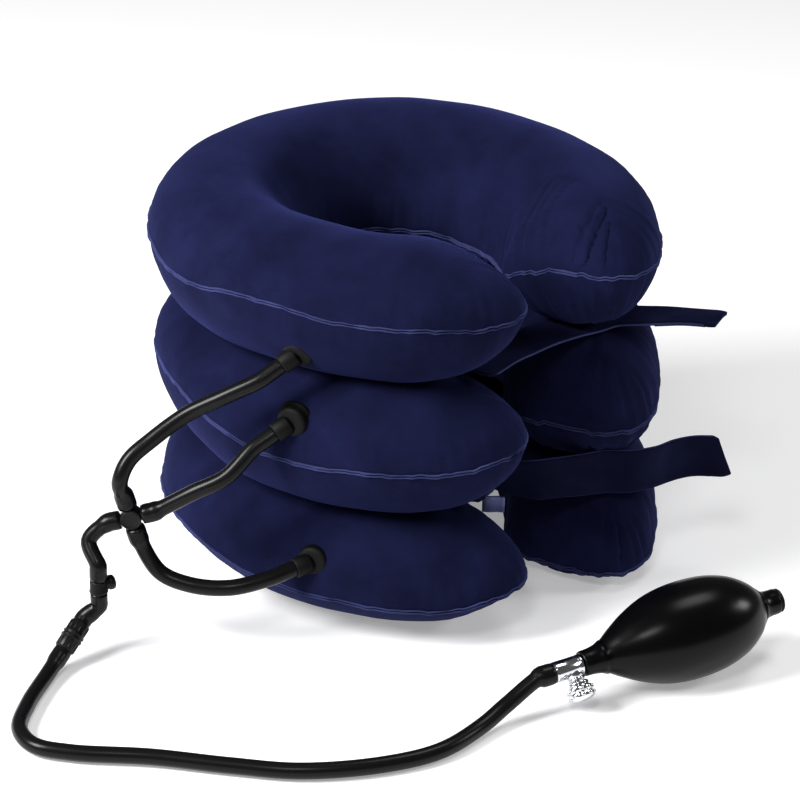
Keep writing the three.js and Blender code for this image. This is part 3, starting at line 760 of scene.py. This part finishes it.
def hand_bulb():
    outline_points = [Vector((radius, station, 0)) * MM for station, radius in PEAR]
    skin = [(p.x / MM, p.y / MM) for p in catmull_rom(outline_points, 0.8 * MM)]
    inner = [(max(4.6, radius - 2), station) for radius, station in skin[::-4]]
    body = turned("bulb_body", [*skin, *inner, skin[0]], BULB, BULB_AXIS, BULB_RUBBER, 96)
    ride(body, "root", "bulb_rubber", "squeeze_bulb")
    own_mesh(body)
    front = [
        (4.6, -42), (8.2, -42.4), (7.0, -45), (6.5, -47.5), (6.2, -50), (6.1, -53.2), (5.9, -53.9), (5.2, -54.1),
        (4.6, -53.8), (4.6, -42),
    ]
    tail = [
        (4.4, 41), (9.4, 41.6), (7.4, 43.4), (6.5, 45.6), (6.2, 48), (6.15, 51.2), (6.0, 51.8), (5.5, 52.1),
        (4.9, 51.9), (4.4, 51.2), (4.4, 41),
    ]
    for name, profile in (("bulb_front_neck", front), ("bulb_tail_neck", tail)):
        ride(turned(name, profile, BULB, BULB_AXIS, BULB_RUBBER, 72), "root", "bulb_rubber")


SCREW_STATION, KNOB_RIDGES = -59.3, 10
SCREW_SIDE = Vector((BULB_AXIS.y, -BULB_AXIS.x, 0)).normalized()
SCREW_WAY = (SCREW_SIDE * 0.7 + BULB_AXIS.cross(SCREW_SIDE) * 0.714).normalized()


def release_valve():
    tube_profile = [
        (0, BARB_END), (2.3, BARB_END), (2.9, -71.6), (2.4, -71.2), (2.4, VALVE_FRONT), (4.3, VALVE_FRONT),
        (4.9, -68.7), (5.0, -68), (5.0, -56.9), (4.8, -56.7), (4.8, -56.3), (5.0, -56.1), (5.0, -54.7),
        (4.7, -54.3), (3.9, -54.3), (3.9, -44), (0, -44),
    ]
    screw_foot = BULB + BULB_AXIS * SCREW_STATION * MM
    tube_piece = turned("valve_tube", tube_profile, BULB, BULB_AXIS, CHROME, 72)
    boss = turned("valve_boss", [
        (0, 0), (4.2, 0), (4.2, 5.2), (3.9, 5.4), (3.9, 5.7), (4.2, 5.9), (4.2, 6.6), (3.8, 7), (2.2, 7),
        (2.2, 5), (0, 5),
    ], screw_foot, SCREW_WAY, CHROME, 56)
    ride(joined("release_valve_chrome", [tube_piece, boss]), "root", "chrome", "release_valve_body")
    thread = [(0, 2.3)]
    for k in range(22):
        low = 3.6 + k * 0.45
        thread += [(1.8, low), (1.55, low + 0.22)]
    thread += [(1.55, 13.8), (0, 13.8)]
    stem = turned("release_stem_thread", thread, screw_foot, SCREW_WAY, STEEL, 40)
    ride(stem, "release_stem", "steel", "release_valve_stem")
    knob = [
        (2.1, 7.5), (4.7, 7.5), (5.2, 7.9), (5.4, 8.7), (5.0, 9.3), (5.0, 9.7), (6.0, 10.0), (6.1, 10.3),
        (6.1, 12.1),
        (5.7, 12.35), (5.7, 12.75), (6.1, 13.0), (6.1, 14.8), (5.8, 15.3), (4.4, 16.1), (2.4, 16.45), (0, 16.5),
        (0, 14.1), (2.1, 14.1), (2.1, 7.5),
    ]
    grip = turned("release_knob_grip", knob, screw_foot, SCREW_WAY, CHROME, 72)
    side = SCREW_WAY.orthogonal().normalized()
    ridges = []
    for k in range(KNOB_RIDGES):
        turn = Matrix.Rotation(2 * math.pi * k / KNOB_RIDGES, 3, SCREW_WAY)
        foot = screw_foot + (turn @ side) * 5.6 * MM
        for low, high in ((10.3, 12.15), (13.0, 14.85)):
            rising = [(0, low), (1.0, low + 0.1), (1.25, low + 0.4)]
            profile = [*rising, (1.25, high - 0.4), (1.0, high - 0.1), (0, high)]
            ridges.append(turned("ridge", profile, foot, SCREW_WAY, CHROME, 10))
    ride(joined("release_knob_knurled", [grip, *ridges]), "release_knob", "chrome", "release_valve_knob")


def inlet_valve():
    profile = [
        (1.9, 42), (4, 42), (4, 52.3), (5.4, 52.3), (5.75, 52.6), (5.8, 53.3), (5.4, 53.8), (4.4, 53.9),
        (4.1, 53.5), (1.4, 53.4), (1.0, 53.1), (1.0, 49.3), (1.9, 49.3), (1.9, 42),
    ]
    plug = turned("inlet_valve_plug", profile, BULB, BULB_AXIS, PLASTIC, 56)
    ride(plug, "root", "black_plastic", "inlet_valve_body")


def check_ball(name, body, radius, station, replaced):
    place = BULB + BULB_AXIS * station * MM
    steps = 14
    angles = [math.pi * k / steps for k in range(steps + 1)]
    profile = [(radius * math.sin(a), -radius * math.cos(a)) for a in angles]
    profile[0], profile[-1] = (0, -radius), (0, radius)
    ride(turned(name, profile, place, BULB_AXIS, STEEL, 28), body, "steel", replaced)


hand_bulb()
release_valve()
inlet_valve()
check_ball("outlet_ball_polished", "outlet_ball", 1.7, -48.0, "outlet_check_ball")
check_ball("inlet_ball_polished", "inlet_ball", 1.5, 47.5, "inlet_check_ball")

# ---- closing straps ----------------------------------------------------------------------
STRAP_WIDTH, STRAP_THICKNESS, STRAP_WAVE = 24.0, 1.6, 0.34
UPPER_PATH = [
    (-41.8, -77.4, 131), (-23.4, -76.6, 131), (-4.5, -76.4, 131), (23, -80.6, 131), (34.4, -83.5, 131),
    (47.5, -88.1, 131), (59.3, -98, 131), (73, -112.6, 131), (83, -129.7, 131),
]
LOWER_PATH = [
    (-45, -75, 62), (-33, -72.5, 62), (-21, -72, 62.5), (-12, -79, 63), (-4, -91, 63), (9, -99.5, 62.5),
    (24, -108, 62), (32, -117.5, 62.5), (44, -122, 62.5), (56, -124, 62.5), (68, -130, 62.5), (77.5, -141, 62.5),
]
UPPER_LEAN = [89, 89, 89, 89, 89, 89, 87, 84, 82]
LOWER_LEAN = [80, 78, 50, 20, 8, 5, 5, 5, 5, 5, 5, 5]


def strap_frames(path, lean, count, first=0.0, last=1.0):
    """Evenly spaced frames (centre, across, face) along a strap's middle line."""
    points = [at(*p) for p in path]
    line = catmull_rom(points, 0.5 * MM)
    lengths = [0.0]
    for a, b in zip(line, line[1:]):
        lengths.append(lengths[-1] + (b - a).length)
    marks = [lengths[min(range(len(line)), key=lambda i: (line[i] - p).length)] for p in points]
    frames = []
    for k in range(count):
        s = lengths[-1] * (first + (last - first) * k / (count - 1))
        i = min(len(line) - 2, int(np.searchsorted(lengths, s, side="right")) - 1)
        share = (s - lengths[i]) / max(1e-9, lengths[i + 1] - lengths[i])
        centre = line[i].lerp(line[i + 1], share)
        ahead = (line[min(i + 3, len(line) - 1)] - line[max(i - 2, 0)]).normalized()
        tilt = math.radians(float(np.interp(s, marks, lean)))
        across = Matrix.Rotation(tilt, 3, ahead) @ UP
        across = (across - ahead * across.dot(ahead)).normalized()
        frames.append((centre, across, ahead.cross(across).normalized(), s / MM))
    return frames, lengths[-1]


def strap_wander(s, seed):
    """How far a strap's middle wanders to one side along its length."""
    return 0.5 * math.sin(s / 15.0 + seed) + 0.25 * math.sin(s / 6.0 + 2 * seed)


def strap_ripple(s, u, seed):
    """How far a strap's cloth stands off its middle surface."""
    return (
        math.sin(s / 6.1 + u / 7.0 + seed) * 0.5 + math.sin(s / 3.7 - u / 5.0 + 2 * seed) * 0.28
        + math.sin(s / 13.0 + 0.2 * u + seed) * 0.9
    )


def strap_piece(name, frames, width, low, high, material, clip, wave, seed, slant=0.0):
    """Band with rounded edges. clip narrows its end, slant cuts its end askew, and wave ripples its cloth."""
    section = []
    round_steps, flat_steps = 5, 10
    radius = (high - low) / 2
    middle = (high + low) / 2
    for end, sign in ((width / 2 - radius, 1), (-width / 2 + radius, -1)):
        for k in range(round_steps + 1):
            a = -math.pi / 2 + math.pi * k / round_steps
            section.append((end + sign * radius * math.cos(a), middle + sign * radius * math.sin(a)))
        for k in range(1, flat_steps):
            section.append((end - sign * 2 * abs(end) * k / flat_steps, high if sign > 0 else low))
    points = []
    total = frames[-1][3]
    for centre, across, face, s in frames:
        left = total - s
        narrow = 1.0 - clip * max(0.0, 1 - left / 5.0) ** 2 - 0.12 * max(0.0, 1 - s / 3.0)
        cut = across.cross(face) * slant * smooth_step(1 - left / 14.0)
        for u, depth in section:
            ripple = wave * strap_ripple(s, u, seed)
            hem = 0.22 * (math.exp(-(((abs(u) - (width / 2 - 2.2)) / 0.35) ** 2)))
            puff = 0.18 * math.exp(-(((abs(u) - (width / 2 - 0.9)) / 0.8) ** 2))
            side = 1 if depth > middle else -1
            thickness = depth + side * (puff - hem) * (1 if wave else 0)
            spot = across * (u * narrow + strap_wander(s, seed)) + face * (thickness + ripple) + cut * u
            points.append(centre + spot * MM)
    columns = len(section)
    faces = grid_faces(len(frames), columns, close_columns=True)
    faces.append(tuple(range(columns))[::-1])
    faces.append(tuple(range(len(points) - columns, len(points))))
    return mesh_object(name, points, faces, material)


def closing_strap(which, path, lean, patch_side, seed, slant):
    body = f"{which}_closing_strap"
    frames, length = strap_frames(path, lean, 260)
    half = STRAP_THICKNESS / 2
    cloth = strap_piece(
        f"{which}_strap_cloth", frames, STRAP_WIDTH, -half, half, STRAP, 0.16, STRAP_WAVE, seed, slant,
    )
    ride(cloth, body, "velour", f"{which}_strap")
    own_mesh(cloth)
    edging = []
    for u in (STRAP_WIDTH / 2 - 0.5, 0.5 - STRAP_WIDTH / 2):
        line = [
            centre + (across * (u + strap_wander(s, seed)) + face * STRAP_WAVE * strap_ripple(s, u, seed)) * MM
            for centre, across, face, s in frames[6:-12]
        ]
        edging.append(tube("edging", line, lambda start, end: 0.62 * MM, WELD, 10))
    ride(joined(f"{which}_strap_edging", edging), body, "velour")
    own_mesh(edging[0])
    patch_frames, _ = strap_frames(path, lean, 60, 0.77, 0.955)
    near, far = half + 0.45, half + 1.3
    low, high = (near, far) if patch_side > 0 else (-far, -near)
    patch = strap_piece(f"{which}_strap_hooks", patch_frames, STRAP_WIDTH - 5, low, high, HOOK, 0.0, 0.0, seed)
    ride(patch, body, "hook_tape", f"{which}_strap_hook_patch")
    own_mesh(patch)


def loop_tab():
    turn = Matrix.Rotation(math.radians(-52), 3, "Z")
    centre = at(-15, -71, 46.5)
    points = []
    rows, columns = 14, 10
    for side in (1, -1):
        for r in range(rows):
            for c in range(columns):
                u, v = c / (columns - 1) - 0.5, r / (rows - 1) - 0.5
                curl = 0.9 * math.sin(3.0 * (0.5 - v)) + 0.3 * math.sin(7 * u)
                corner = 1 - 0.10 * max(0.0, -v - 0.2) ** 2
                points.append(centre + turn @ Vector((11 * u * corner, 0.5 * side + curl - 0.5, 8.6 * v)) * MM)
    count = rows * columns
    faces = grid_faces(rows, columns)
    faces += [tuple(i + count for i in face)[::-1] for face in faces]
    rim = [
        *range(columns), *range(2 * columns - 1, count, columns), *range(count - 2, count - columns - 1, -1),
        *range(count - 2 * columns, 0, -columns),
    ]
    for a, b in zip(rim, rim[1:] + rim[:1]):
        faces.append((b, a, a + count, b + count))
    piece = mesh_object("loop_tab_pile", points, faces, LOOP)
    ride(piece, "lower_closing_strap", "loop_tape", "lower_strap_loop_tab")
    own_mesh(piece)


closing_strap("upper", UPPER_PATH, UPPER_LEAN, 1, 0.6, -0.15)
closing_strap("lower", LOWER_PATH, LOWER_LEAN, -1, 2.3, -0.3)
loop_tab()


# ---- floor and light ---------------------------------------------------------------------
def studio():
    floor_material = new_material("floor", (0.86, 0.86, 0.87), 0.6, Emission_Strength=0.3)
    floor_material.node_tree.nodes["Principled BSDF"].inputs["Emission Color"].default_value = (1, 1, 1, 1)
    size = 6.0
    corners = [(-size, -size, 0), (size, -size, 0), (size, size, 0), (-size, size, 0)]
    mesh_object("floor", corners, [(0, 1, 2, 3)], floor_material, smooth=False)
    world = bpy.data.worlds.new("studio")
    bpy.context.scene.world = world
    world.use_nodes = True
    world.node_tree.nodes["Background"].inputs["Color"].default_value = (1, 1, 1, 1)
    world.node_tree.nodes["Background"].inputs["Strength"].default_value = 0.1
    for name, place, energy, width in [
        ("top_light", at(420, -190, 1250), 4.2, 0.45),
        ("left_light", at(-1000, 400, 850), 31, 0.5),
        ("left_front_light", at(-758, -500, 1045), 3.4, 0.25),
        ("right_light", at(918, -866, 623), 5, 0.3),
    ]:
        data = bpy.data.lights.new(name, "AREA")
        data.energy = energy
        data.size = width
        light = bpy.data.objects.new(name, data)
        bpy.context.scene.collection.objects.link(light)
        light.location = place
        light.rotation_euler = (at(0, 0, 90) - place).to_track_quat("-Z", "Y").to_euler()
    bpy.context.scene.view_settings.view_transform = "Standard"


studio()
